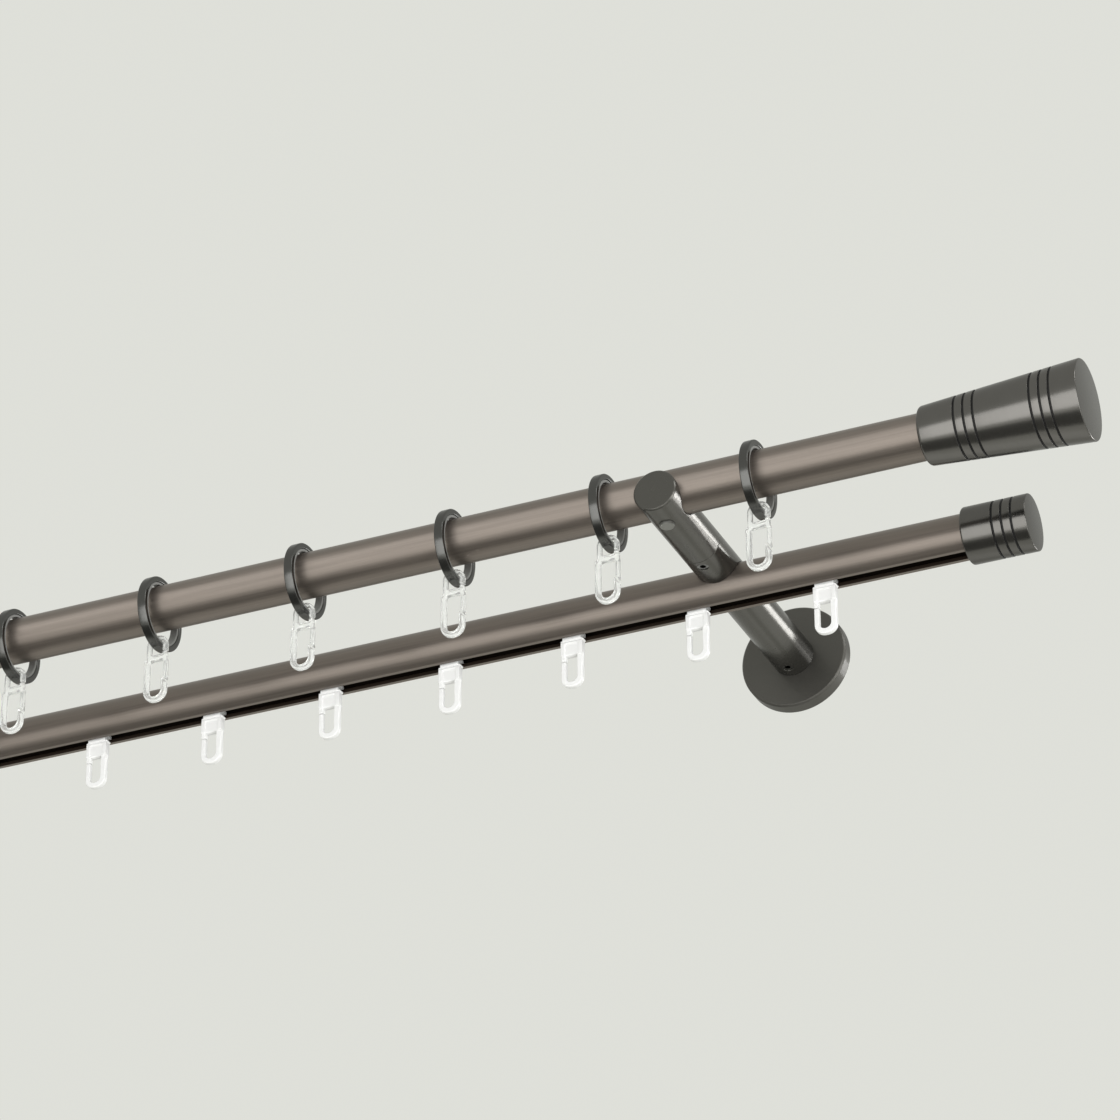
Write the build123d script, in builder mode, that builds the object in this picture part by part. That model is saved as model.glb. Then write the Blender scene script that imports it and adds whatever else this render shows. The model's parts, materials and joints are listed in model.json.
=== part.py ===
"""Double curtain rod on two wall brackets.

The front tube carries rings with clear hooks. The rear tube is a track with a slot underneath,
in which gliders run. Each bracket is a round wall rose, an arm that grips the track from above,
and a head that is notched for the front tube. Turned finials and end caps close the tubes.
"""
import os
from math import asin, degrees, sqrt

from build123d import *

os.makedirs("parts", exist_ok=True)

# Frame: the origin is on the wall, midway between the two brackets, on the axis of their arms.
# X runs along the rods, Y points into the wall and Z points up. All sizes are in millimetres.

# Layout
bracket_spacing = 550.0
front_rod_reach = 150.0
track_reach = 86.5
front_rod_overhang = 135.0
track_overhang = 128.0

# Front tube
front_rod_diameter = 20.0
front_rod_wall = 1.2

# Rear track: a tube with a flat underside, a slot, and a level floor inside for the gliders
track_diameter = 20.0
track_wall = 1.3
track_flat_width = 9.6
track_slot_width = 6.0
track_lip = 1.6

# Bracket
arm_diameter = 19.0
arm_web = 6.65
arm_nose_length = 18.75
head_floor = 4.3
head_lip = 3.3
head_edge = 0.6
seam_edge = 0.2
seat_clearance = 0.2
rose_diameter = 49.0
rose_thickness = 6.4
rose_edge = 0.8
wall_hole_diameter = 5.5
wall_countersink_diameter = 8.6

# Spigots that join the bracket's pieces
spigot_diameter = 10.0
spigot_clearance = 0.1
head_spigot_length = 13.0
rose_spigot_length = 18.0
spigot_end_gap = 1.0
screw_head_room = 6.0

# Screws
screw_clearance = 0.05
grub_diameter = 5.0
grub_recess = 0.45
grub_socket = 2.5
grub_socket_depth = 2.0
head_grub_setback = 4.5
rose_grub_setback = 7.2
clamp_screw_diameter = 6.4
clamp_screw_proud = 1.0
clamp_screw_edge = 0.4
track_screw_diameter = 4.0
track_screw_head_diameter = 7.0
track_screw_head_height = 2.8
track_screw_sink = 3.6
track_screw_socket = 2.5
track_screw_socket_depth = 1.6
track_screw_tail = 2.5

# Turned ends, with groups of grooves
socket_clearance = 0.1
groove_width = 1.0
groove_depth = 0.8
groove_pitch = 4.2
grooves_in_group = 3
finial_length = 69.8
finial_wall = 2.4
finial_large_diameter = 34.7
finial_socket_depth = 20.4
finial_inner_groove = 16.6
finial_outer_groove = 11.8
finial_small_edge = 1.6
finial_large_edge = 0.6
end_cap_length = 28.9
end_cap_wall = 2.3
end_cap_socket_depth = 18.0
end_cap_outer_groove = 6.4
end_cap_inner_edge = 0.9
end_cap_outer_edge = 0.5

# Rings: a metal hoop with a plastic liner, hanging on the front tube
ring_width = 4.0
ring_thickness = 2.45
ring_edge = 0.4
liner_width = 3.4
liner_thickness = 1.25
liner_clearance = 0.05
ring_play = 3.1
hang_gap = 0.3
rings_between_brackets = 8
ring_inset = 26.6
ring_outset = 41.0

# Hooks: a loop that hangs on the ring, a block, and a long eye with a springy gate
hook_thickness = 2.7
hook_hang_gap = 0.3
hook_hole_width = 5.8
hook_hole_drop = 3.3
hook_hole_corner = 1.2
hook_loop_wall = 2.0
hook_loop_corner = 4.4
hook_loop_slit = 0.6
hook_block = 2.85
hook_shoulder = 0.95
hook_shoulder_corner = 1.2
hook_eye_width = 6.1
hook_eye_height = 17.5
hook_eye_corner = 1.3
hook_eye_offset = -0.3
hook_wire = 2.45
hook_gate_wire = 1.6
hook_slit = 0.5
hook_slit_height = 9.2
hook_slit_tilt = -58.0

# Gliders: a head in the track, a neck in the slot, a block with a sunk panel, and a long eye
glider_thickness = 3.8
glider_head_width = 8.6
glider_head_height = 2.0
glider_head_length = 8.6
glider_gap = 0.15
glider_drop = 0.3
glider_wing_length = 11.0
glider_wing_height = 1.2
glider_body_width = 10.2
glider_body_height = 6.3
glider_panel_width = 6.2
glider_panel_inset = 0.9
glider_panel_depth = 0.5
glider_eye_thickness = 2.6
glider_eye_width = 6.4
glider_eye_height = 13.9
glider_eye_corner = 2.6
glider_eye_offset = 0.1
glider_arm = 1.2
glider_foot = 1.6
glider_foot_corner = 4.3
glider_rail = 2.8
glider_slit = 0.4
gliders_between_brackets = 10
glider_inset = 12.6
glider_outset = 45.6

# Derived sizes
front_rod_radius = front_rod_diameter / 2
track_radius = track_diameter / 2
arm_radius = arm_diameter / 2
rose_radius = rose_diameter / 2
spigot_radius = spigot_diameter / 2
spigot_bore_radius = spigot_radius + spigot_clearance
grub_radius = grub_diameter / 2
clamp_screw_radius = clamp_screw_diameter / 2
track_screw_radius = track_screw_diameter / 2
track_screw_head_radius = track_screw_head_diameter / 2

front_rod_length = bracket_spacing + 2 * front_rod_overhang
track_length = bracket_spacing + 2 * track_overhang
front_rod_rise = front_rod_radius + seat_clearance + head_floor - arm_radius
track_height = arm_radius - arm_web - seat_clearance - track_radius
track_notch_radius = track_radius + seat_clearance
head_notch_radius = front_rod_radius + seat_clearance
head_joint_reach = track_reach + track_notch_radius + arm_nose_length
head_front_reach = front_rod_reach + head_notch_radius + head_lip

track_flat_depth = sqrt(track_radius**2 - (track_flat_width / 2) ** 2)
track_floor_depth = track_flat_depth - track_lip
track_bore_radius = track_radius - track_wall

liner_inner_radius = front_rod_radius + ring_play
liner_outer_radius = liner_inner_radius + liner_thickness
ring_inner_radius = liner_outer_radius + liner_clearance
ring_outer_radius = ring_inner_radius + ring_thickness
ring_height = front_rod_rise + front_rod_radius + hang_gap - liner_inner_radius

sides = {"right": 1, "left": -1}
bracket_x = bracket_spacing / 2


def save(piece, name):
    """Label a finished piece and write it as its own file."""
    piece.part.label = name
    export_step(piece.part, f"parts/{name}.step")


def room_plane(x, reach, height=0.0):
    """Plane that faces the room: local x along the rods, local y up, extrusions grow outwards."""
    return Plane(origin=(x, -reach, height), x_dir=(1, 0, 0), z_dir=(0, -1, 0))


def cross_plane(x, reach, height):
    """Plane across the rods: local x into the wall, local y up, extrusions grow along X."""
    return Plane(origin=(x, -reach, height), x_dir=(0, 1, 0), z_dir=(1, 0, 0))


def axis_plane(side, x, reach, height):
    """Plane through a rod's axis: local x outwards along the rod, local y up."""
    return Plane(origin=(side * x, -reach, height), x_dir=(side, 0, 0), z_dir=(0, -side, 0))


def at_brackets(reach):
    """A point on each bracket's arm, seen from above, at a distance from the wall."""
    return [(side * bracket_x, -reach) for side in sides.values()]


def row_along_rod(count_between, inset, outset):
    """Even places between the brackets, with one more outside each bracket, from the right."""
    pitch = (bracket_spacing - 2 * inset) / (count_between - 1)
    between = [bracket_x - inset - i * pitch for i in range(count_between)]
    outer = bracket_x + outset
    return [outer, *between, -outer]


def make_front_rod():
    """The plain front tube."""
    with BuildPart() as front_rod:
        with BuildSketch(cross_plane(-front_rod_length / 2, front_rod_reach, front_rod_rise)):
            Circle(front_rod_radius)
            Circle(front_rod_radius - front_rod_wall, mode=Mode.SUBTRACT)
        extrude(amount=front_rod_length)
    save(front_rod, "front_rod")


def make_rear_track():
    """The track: a round tube, flat underneath, with a channel inside and a slot below it."""
    floor_angle = degrees(asin(track_floor_depth / track_bore_radius))
    with BuildPart() as rear_track:
        with BuildSketch(cross_plane(-track_length / 2, track_reach, track_height)):
            Circle(track_radius)
            with Locations((0, -track_flat_depth)):
                Rectangle(track_diameter, track_radius, align=(Align.CENTER, Align.MAX), mode=Mode.SUBTRACT)
            with BuildLine():
                channel = CenterArc((0, 0), track_bore_radius, -floor_angle, 180 + 2 * floor_angle)
                Line(channel @ 1, channel @ 0)
            make_face(mode=Mode.SUBTRACT)
            with Locations((0, -track_floor_depth)):
                Rectangle(track_slot_width, 3 * track_lip, mode=Mode.SUBTRACT)
        extrude(amount=track_length)
        with BuildSketch(Plane.XY.offset(track_height)):
            with Locations(*at_brackets(track_reach)):
                Circle(track_screw_radius + screw_clearance)
        extrude(amount=track_radius, mode=Mode.SUBTRACT)
    save(rear_track, "rear_track")


def make_rose(name, x):
    """Wall rose: a disc with a spigot for the arm, drilled through for one wall screw."""
    with BuildPart() as rose:
        with BuildSketch(room_plane(x, 0)):
            Circle(rose_radius)
        extrude(amount=rose_thickness)
        rim = rose.edges().filter_by(GeomType.CIRCLE).sort_by(Axis.Y)[0]
        chamfer(rim, rose_edge)
        with BuildSketch(room_plane(x, rose_thickness)):
            Circle(spigot_radius)
        extrude(amount=rose_spigot_length)
        with Locations(room_plane(x, rose_thickness + rose_spigot_length)):
            CounterSinkHole(wall_hole_diameter / 2, wall_countersink_diameter / 2)
    save(rose, name)


def make_arm(name, x):
    """Arm: a bar on the rose's spigot, notched from below for the track and bored for the head."""
    arm_length = head_joint_reach - rose_thickness
    rose_bore_depth = rose_spigot_length + screw_head_room
    head_bore_depth = head_spigot_length + spigot_end_gap
    with BuildPart() as arm:
        with BuildSketch(room_plane(x, rose_thickness)):
            Circle(arm_radius)
        extrude(amount=arm_length)
        chamfer(arm.edges().filter_by(GeomType.CIRCLE).sort_by(Axis.Y)[0], seam_edge)
        with BuildSketch(room_plane(x, rose_thickness)):
            Circle(spigot_bore_radius)
        extrude(amount=rose_bore_depth, mode=Mode.SUBTRACT)
        with BuildSketch(room_plane(x, head_joint_reach - head_bore_depth)):
            Circle(spigot_bore_radius)
        extrude(amount=head_bore_depth, mode=Mode.SUBTRACT)
        with BuildSketch(cross_plane(x, track_reach, track_height)):
            Circle(track_notch_radius)
            Rectangle(2 * track_notch_radius, arm_diameter, align=(Align.CENTER, Align.MAX))
        extrude(amount=arm_diameter, both=True, mode=Mode.SUBTRACT)
        with Locations((x, -track_reach, arm_radius)):
            CounterBoreHole(
                track_screw_radius + screw_clearance,
                track_screw_head_radius + 4 * screw_clearance,
                track_screw_sink,
                depth=arm_web + seat_clearance,
            )
        with Locations(*[Location((x, -reach, -arm_radius), (180, 0, 0)) for reach in grub_reaches()]):
            Hole(grub_radius + screw_clearance, depth=arm_radius)
    save(arm, name)


def make_head(name, x):
    """Head: the arm's front end, notched from above for the front tube, on its own spigot."""
    with BuildPart() as head:
        with BuildSketch(room_plane(x, head_joint_reach)):
            Circle(arm_radius)
        extrude(amount=head_front_reach - head_joint_reach)
        ends = head.edges().filter_by(GeomType.CIRCLE).sort_by(Axis.Y)
        chamfer(ends[0], head_edge)
        chamfer(ends[-1], seam_edge)
        with BuildSketch(room_plane(x, head_joint_reach - head_spigot_length)):
            Circle(spigot_radius)
        extrude(amount=head_spigot_length)
        with BuildSketch(cross_plane(x, front_rod_reach, front_rod_rise)):
            Circle(head_notch_radius)
            Rectangle(2 * head_notch_radius, arm_diameter, align=(Align.CENTER, Align.MIN))
        extrude(amount=arm_diameter, both=True, mode=Mode.SUBTRACT)
        with Locations(Location((x, -front_rod_reach, -arm_radius), (180, 0, 0))):
            Hole(clamp_screw_radius + screw_clearance, depth=arm_radius)
    save(head, name)


def grub_reaches():
    """How far from the wall each arm's two grub screws stand."""
    return [head_joint_reach - head_grub_setback, rose_thickness + rose_grub_setback]


def make_grub_screws():
    """Grub screws under the arms: one on each head's spigot and one on each rose's spigot."""
    places = [place for reach in grub_reaches() for place in at_brackets(reach)]
    top = -spigot_radius - screw_clearance
    bottom = -arm_radius + grub_recess
    with BuildPart() as grub_screws:
        with BuildSketch(Plane.XY.offset(bottom)):
            with Locations(*places):
                Circle(grub_radius)
        extrude(amount=top - bottom)
        with BuildSketch(Plane.XY.offset(bottom)):
            with Locations(*places):
                RegularPolygon(grub_socket / 2, 6, major_radius=False)
        extrude(amount=grub_socket_depth, mode=Mode.SUBTRACT)
    save(grub_screws, "grub_screws")


def make_clamp_screws():
    """Clamp screws: flat-ended plugs under the heads that press on the front tube."""
    places = at_brackets(front_rod_reach)
    top = front_rod_rise - front_rod_radius - screw_clearance
    bottom = -arm_radius - clamp_screw_proud
    with BuildPart() as clamp_screws:
        with BuildSketch(Plane.XY.offset(bottom)):
            with Locations(*places):
                Circle(clamp_screw_radius)
        extrude(amount=top - bottom)
        chamfer(clamp_screws.edges().group_by(Axis.Z)[0], clamp_screw_edge)
    save(clamp_screws, "clamp_screws")


def make_track_screws():
    """Track screws: sunk in the top of each arm, through its web into the track's upper wall."""
    places = at_brackets(track_reach)
    head_bottom = arm_radius - track_screw_sink
    head_top = head_bottom + track_screw_head_height
    tail = track_height + track_bore_radius - track_screw_tail
    with BuildPart() as track_screws:
        with BuildSketch(Plane.XY.offset(tail)):
            with Locations(*places):
                Circle(track_screw_radius)
        extrude(amount=head_bottom - tail)
        with BuildSketch(Plane.XY.offset(head_bottom)):
            with Locations(*places):
                Circle(track_screw_head_radius)
        extrude(amount=track_screw_head_height)
        with BuildSketch(Plane.XY.offset(head_top)):
            with Locations(*places):
                RegularPolygon(track_screw_socket / 2, 6, major_radius=False)
        extrude(amount=-track_screw_socket_depth, mode=Mode.SUBTRACT)
    save(track_screws, "track_screws")


def groove_places(length, inner_groove, outer_groove):
    """Places of a turned end's grooves from its tube side: one group counted from each end."""
    steps = [i * groove_pitch for i in range(grooves_in_group)]
    inner = [] if inner_groove is None else [inner_groove + step for step in steps]
    return inner + [length - outer_groove - step for step in steps]


def turned_end(name, side, plane, length, radii, edges, socket, places):
    """A turned end piece: a cone or cylinder with a socket for the tube and cut grooves."""
    small, large = radii
    small_edge, large_edge = edges
    socket_radius, socket_depth = socket
    slope = (large - small) / length
    axis = Axis(plane.origin, (side, 0, 0))
    with BuildPart() as end_piece:
        with BuildSketch(plane):
            with BuildLine():
                Polyline(
                    (socket_depth, 0),
                    (socket_depth, socket_radius),
                    (0, socket_radius),
                    (0, small),
                    (length, large),
                    (length, 0),
                    close=True,
                )
            make_face()
        revolve(axis=axis)
        for end, edge in ((0, small_edge), (-1, large_edge)):
            rims = end_piece.edges().filter_by(GeomType.CIRCLE).group_by(axis)[end]
            fillet(rims.sort_by(SortBy.RADIUS)[-1], edge)
        with BuildSketch(plane):
            with Locations(*[(place, small + slope * place) for place in places]):
                Rectangle(groove_width, 2 * groove_depth)
        revolve(axis=axis, mode=Mode.SUBTRACT)
    save(end_piece, name)


def make_finial(name, side):
    """Finial: a cone that widens outwards, with three grooves near each end."""
    start = front_rod_length / 2 - finial_socket_depth
    socket_radius = front_rod_radius + socket_clearance
    turned_end(
        name,
        side,
        axis_plane(side, start, front_rod_reach, front_rod_rise),
        finial_length,
        (socket_radius + finial_wall, finial_large_diameter / 2),
        (finial_small_edge, finial_large_edge),
        (socket_radius, finial_socket_depth),
        groove_places(finial_length, finial_inner_groove, finial_outer_groove),
    )


def make_end_cap(name, side):
    """End cap of the track: a short cylinder with three grooves near its outer end."""
    start = track_length / 2 - end_cap_socket_depth
    socket_radius = track_radius + socket_clearance
    turned_end(
        name,
        side,
        axis_plane(side, start, track_reach, track_height),
        end_cap_length,
        (socket_radius + end_cap_wall, socket_radius + end_cap_wall),
        (end_cap_inner_edge, end_cap_outer_edge),
        (socket_radius, end_cap_socket_depth),
        groove_places(end_cap_length, None, end_cap_outer_groove),
    )


def make_ring(name, x):
    """Ring: a flat metal hoop with its outer edges broken."""
    with BuildPart() as ring:
        with BuildSketch(cross_plane(x - ring_width / 2, front_rod_reach, ring_height)):
            Circle(ring_outer_radius)
        extrude(amount=ring_width)
        chamfer(ring.edges().filter_by(GeomType.CIRCLE), ring_edge)
        with BuildSketch(cross_plane(x - ring_width / 2, front_rod_reach, ring_height)):
            Circle(ring_inner_radius)
        extrude(amount=ring_width, mode=Mode.SUBTRACT)
    save(ring, name)


def make_ring_liner(name, x):
    """Liner: the plastic band inside a ring, which slides on the tube."""
    with BuildPart() as liner:
        with BuildSketch(cross_plane(x - liner_width / 2, front_rod_reach, ring_height)):
            Circle(liner_outer_radius)
            Circle(liner_inner_radius, mode=Mode.SUBTRACT)
        extrude(amount=liner_width)
    save(liner, name)


def make_ring_hook(name, x):
    """Hook: one flat moulding. Its loop hangs on the ring, and its eye opens at a springy gate."""
    ring_depth = ring_outer_radius - liner_inner_radius
    hole_top = ring_depth + hook_hang_gap
    hole_height = hole_top + hook_hole_drop
    loop_width = hook_hole_width + 2 * hook_loop_wall
    loop_top = hole_top + hook_loop_wall
    eye_top = -hook_hole_drop - hook_block
    eye_radius = hook_eye_width / 2
    eye_centre = eye_top - hook_eye_height + eye_radius
    eye_right = hook_eye_offset + eye_radius
    outer_width = hook_eye_width + 2 * hook_wire
    shoulder = eye_top + hook_shoulder
    with BuildPart() as hook:
        with BuildSketch(room_plane(x, front_rod_reach, ring_height - ring_outer_radius)):
            with Locations((0, loop_top)):
                RectangleRounded(
                    loop_width,
                    loop_top - eye_top + hook_loop_corner,
                    hook_loop_corner,
                    align=(Align.CENTER, Align.MAX),
                )
            with Locations((hook_eye_offset, shoulder)):
                RectangleRounded(
                    outer_width,
                    shoulder - eye_centre + hook_shoulder_corner,
                    hook_shoulder_corner,
                    align=(Align.CENTER, Align.MAX),
                )
            with Locations((hook_eye_offset, eye_centre)):
                Circle(outer_width / 2)
                Circle(eye_radius, mode=Mode.SUBTRACT)
            with Locations((hook_eye_offset, eye_top)):
                RectangleRounded(
                    hook_eye_width,
                    eye_top - eye_centre + hook_eye_corner,
                    hook_eye_corner,
                    align=(Align.CENTER, Align.MAX),
                    mode=Mode.SUBTRACT,
                )
            with Locations((eye_right, eye_top - hook_slit_height / 2)):
                SlotOverall(
                    hook_slit_height,
                    2 * (hook_wire - hook_gate_wire),
                    rotation=90,
                    mode=Mode.SUBTRACT,
                )
            with Locations((0, hole_top)):
                RectangleRounded(
                    hook_hole_width,
                    hole_height,
                    hook_hole_corner,
                    align=(Align.CENTER, Align.MAX),
                    mode=Mode.SUBTRACT,
                )
            with Locations((loop_width / 2, hook_hole_corner - hook_hole_drop)):
                Rectangle(3 * hook_loop_wall, hook_loop_slit, mode=Mode.SUBTRACT)
            with Locations((eye_right + hook_wire / 2, eye_top - hook_slit_height)):
                Rectangle(3 * hook_wire, hook_slit, rotation=hook_slit_tilt, mode=Mode.SUBTRACT)
        extrude(amount=hook_thickness / 2, both=True)
    save(hook, name)


def make_glider(name, x):
    """Glider: one moulding with a head on the track's floor and a springy eye below the slot."""
    head_bottom = -track_floor_depth + glider_gap
    wing_top = -track_flat_depth - glider_drop
    wing_bottom = wing_top - glider_wing_height
    eye_top = wing_bottom - glider_body_height
    eye_bottom = eye_top - glider_eye_height
    eye_left = glider_eye_offset - glider_eye_width / 2
    arm_left = eye_left - glider_arm
    body_right = glider_body_width / 2
    rail_foot = eye_top - glider_rail
    plane = room_plane(x, track_reach, track_height)
    with BuildPart() as glider:
        with BuildSketch(plane):
            with Locations((arm_left, eye_bottom - glider_foot)):
                RectangleRounded(
                    body_right - arm_left,
                    glider_foot + glider_eye_height + glider_foot_corner,
                    glider_foot_corner,
                    align=(Align.MIN, Align.MIN),
                )
            with Locations((-body_right, eye_top)):
                Rectangle(eye_left + body_right, glider_rail, align=(Align.MIN, Align.MAX))
            with Locations((glider_eye_offset, eye_top)):
                Rectangle(
                    glider_eye_width,
                    glider_eye_height - glider_eye_corner,
                    align=(Align.CENTER, Align.MAX),
                    mode=Mode.SUBTRACT,
                )
            with Locations((glider_eye_offset, eye_bottom)):
                RectangleRounded(
                    glider_eye_width,
                    3 * glider_eye_corner,
                    glider_eye_corner,
                    align=(Align.CENTER, Align.MIN),
                    mode=Mode.SUBTRACT,
                )
            with Locations((-body_right, rail_foot)):
                Rectangle(2 * (eye_left + body_right), glider_slit, mode=Mode.SUBTRACT)
        extrude(amount=glider_eye_thickness / 2, both=True)
        with BuildSketch(plane):
            with Locations((0, head_bottom)):
                Rectangle(glider_head_length, head_bottom - wing_top, align=(Align.CENTER, Align.MAX))
            with Locations((0, wing_top)):
                Rectangle(glider_wing_length, glider_wing_height, align=(Align.CENTER, Align.MAX))
            with Locations((0, wing_bottom)):
                Rectangle(glider_body_width, glider_body_height, align=(Align.CENTER, Align.MAX))
        extrude(amount=glider_thickness / 2, both=True)
        with BuildSketch(room_plane(x, track_reach + glider_thickness / 2, track_height)):
            with Locations((0, eye_top)):
                Rectangle(
                    glider_panel_width,
                    glider_body_height - glider_panel_inset,
                    align=(Align.CENTER, Align.MIN),
                )
        extrude(amount=-glider_panel_depth, mode=Mode.SUBTRACT)
        with BuildSketch(plane):
            with Locations((0, head_bottom)):
                Rectangle(glider_head_length, glider_head_height, align=(Align.CENTER, Align.MIN))
        extrude(amount=glider_head_width / 2, both=True)
    save(glider, name)


make_front_rod()
make_rear_track()
for side_name, side in sides.items():
    make_rose(f"{side_name}_rose", side * bracket_x)
    make_arm(f"{side_name}_arm", side * bracket_x)
    make_head(f"{side_name}_head", side * bracket_x)
    make_finial(f"{side_name}_finial", side)
    make_end_cap(f"{side_name}_end_cap", side)
make_grub_screws()
make_clamp_screws()
make_track_screws()
ring_row = row_along_rod(rings_between_brackets, ring_inset, ring_outset)
glider_row = row_along_rod(gliders_between_brackets, glider_inset, glider_outset)
for number, x in enumerate(ring_row, start=1):
    make_ring(f"ring_{number:02d}", x)
    make_ring_liner(f"ring_liner_{number:02d}", x)
    make_ring_hook(f"ring_hook_{number:02d}", x)
for number, x in enumerate(glider_row, start=1):
    make_glider(f"glider_{number:02d}", x)
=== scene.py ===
# %% [markdown]
# # A double curtain rod, dressed for its portrait
#
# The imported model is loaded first. It holds every piece of the rod at its true size: two tubes,
# their turned ends, the brackets, and the rings, hooks and gliders that slide. Nothing in it is
# moved here. Pieces whose shape is already right only get a finish. Pieces that a maker would
# turn or mould with soft edges are made again as smooth surfaces, in the same place. The model's
# own meshes could be softened instead, but they are loose triangles, and a surface that is worked
# out from its sizes is smooth from the start.

# %% Load the frame
import json
import math

import bmesh
import bpy
import numpy as np
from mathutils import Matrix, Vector
from mathutils.geometry import tessellate_polygon

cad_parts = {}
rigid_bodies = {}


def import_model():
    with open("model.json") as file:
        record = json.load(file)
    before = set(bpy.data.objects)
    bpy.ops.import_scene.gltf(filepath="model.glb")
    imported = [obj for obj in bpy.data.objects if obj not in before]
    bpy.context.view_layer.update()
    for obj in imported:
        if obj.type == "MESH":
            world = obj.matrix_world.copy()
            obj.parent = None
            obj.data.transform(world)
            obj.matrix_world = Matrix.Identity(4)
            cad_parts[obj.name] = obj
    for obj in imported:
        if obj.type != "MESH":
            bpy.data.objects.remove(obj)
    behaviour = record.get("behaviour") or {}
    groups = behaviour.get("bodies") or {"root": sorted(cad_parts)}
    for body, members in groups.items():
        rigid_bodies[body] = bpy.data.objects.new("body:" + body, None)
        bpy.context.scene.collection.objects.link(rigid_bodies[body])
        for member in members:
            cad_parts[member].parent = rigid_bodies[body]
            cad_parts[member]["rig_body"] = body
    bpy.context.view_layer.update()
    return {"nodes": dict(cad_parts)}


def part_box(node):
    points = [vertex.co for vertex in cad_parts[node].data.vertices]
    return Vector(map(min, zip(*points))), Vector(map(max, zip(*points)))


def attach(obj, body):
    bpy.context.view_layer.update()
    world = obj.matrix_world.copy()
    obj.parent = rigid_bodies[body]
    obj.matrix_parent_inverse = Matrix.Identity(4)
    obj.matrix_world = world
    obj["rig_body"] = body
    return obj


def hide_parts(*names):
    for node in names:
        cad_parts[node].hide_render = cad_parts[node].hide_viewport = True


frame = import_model()
MM = 0.001
nodes = frame["nodes"]

# %% [markdown]
# ## The camera
#
# The photograph looks up at the rod from below and from the right, through a long lens. A long
# lens keeps the two tubes nearly parallel in the picture. The place, the pitch and the turn were
# worked out from the tubes, the rings and the bracket, so that each lands on its own pixels. A
# camera could be moved by hand until it looks right, but one that is worked out can be checked.

# %% Camera
CAMERA_PLACE = (0.89646, -1.65224, -0.96039)
CAMERA_PITCH = math.radians(29.889)
CAMERA_TURN = math.radians(24.041)
CAMERA_LENS = 145.70

scene = bpy.context.scene
scene.view_settings.view_transform = "Standard"
camera = bpy.data.objects.new("camera", bpy.data.cameras.new("camera"))
camera.location = CAMERA_PLACE
camera.rotation_euler = (math.pi / 2 + CAMERA_PITCH, 0, CAMERA_TURN)
camera.data.lens = CAMERA_LENS
camera.data.sensor_fit = "HORIZONTAL"
scene.collection.objects.link(camera)
scene.camera = camera
print("camera lens:", CAMERA_LENS, "mm")

# %% [markdown]
# ## Shader sums in plain Python
#
# A finish is a small sum over the surface: a tone, plus a little noise, times a mask. Wiring such
# a sum by hand takes many lines. This class wraps one output socket and lets the sum be written
# with the usual signs. Each sign adds one Math node. Any other node comes from the method `node`.


# %% Socket class
class Value:
    """An output socket of a node tree, so that sums over a surface read as plain Python."""

    def __init__(self, tree, socket=None):
        self.tree = tree
        self.socket = socket

    def node(self, kind, settings=None, inputs=None, output=0):
        """Add a node of a kind: its settings first, then the values or links of its sockets."""
        made = self.tree.nodes.new("ShaderNode" + kind)
        for name, setting in (settings or {}).items():
            setattr(made, name, setting)
        for name, given in (inputs or {}).items():
            if isinstance(given, Value):
                self.tree.links.new(given.socket, made.inputs[name])
            else:
                made.inputs[name].default_value = given
        return Value(self.tree, made.outputs[output] if made.outputs else None)

    def math(self, operation, first, second):
        """Add a Math node on two values, each a number or a socket."""
        return self.node("Math", {"operation": operation}, {0: first, 1: second})

    def __add__(self, other):
        return self.math("ADD", self, other)

    __radd__ = __add__

    def __sub__(self, other):
        return self.math("SUBTRACT", self, other)

    def __rsub__(self, other):
        return self.math("SUBTRACT", other, self)

    def __mul__(self, other):
        return self.math("MULTIPLY", self, other)

    __rmul__ = __mul__

    def __lt__(self, other):
        return self.math("LESS_THAN", self, other)

    def __gt__(self, other):
        return self.math("GREATER_THAN", self, other)

    def __or__(self, other):
        return self.math("MAXIMUM", self, other)

    __ror__ = __or__

    def mix(self, low, high):
        """Mix two colours, each a triple or a socket, by this value."""
        colours = {6: low, 7: high}
        colours = {k: c if isinstance(c, Value) else (*c, 1.0) for k, c in colours.items()}
        return self.node("Mix", {"data_type": "RGBA"}, {0: self, **colours}, output=2)


print("shader class ready:", Value.__name__)

# %% [markdown]
# Every finish starts from the place on the piece, in metres, and ends in one Principled shader.
# Noise breaks up its tone and its gloss in between. Pictures could do that too, but they need
# unwrapping, and noise keeps its scale on any piece.


# %% Start and end of a finish
def start_finish(name):
    """A new material, a Value to write its nodes with, and the place on the piece."""
    material = bpy.data.materials.new(name)
    material.use_nodes = True
    material.node_tree.nodes.clear()
    pen = Value(material.node_tree)
    return material, pen, pen.node("TexCoord", output="Object")


def noise(pen, place, scale, detail=2.0):
    """Soft noise from nought to one, with about as many blotches to a metre as its scale says."""
    return pen.node("TexNoise", inputs={"Vector": place, "Scale": scale, "Detail": detail})


def shaded(tone, share):
    """A tone times a number."""
    return tuple(share * part for part in tone)


def end_finish(material, pen, **sockets):
    """Close a finish with one Principled shader, whose sockets are given by name."""
    named = {name.replace("_", " "): given for name, given in sockets.items()}
    shader = pen.node("BsdfPrincipled", inputs=named)
    pen.node("OutputMaterial", inputs={"Surface": shader})
    return material


print("finish helpers ready:", start_finish.__name__, noise.__name__, end_finish.__name__)

# %% [markdown]
# ## The studio
#
# The rod hangs in a plain pale studio. The world is the pale backdrop: the camera, mirrors and
# clear plastic see it at full strength, and everything else gets a softer share of it. A paper
# backdrop could be built instead, but a world needs no mesh and has no edge.

# %% World
BACKDROP = (0.735, 0.742, 0.695)
SOFT_SHARE = 0.58


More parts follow.
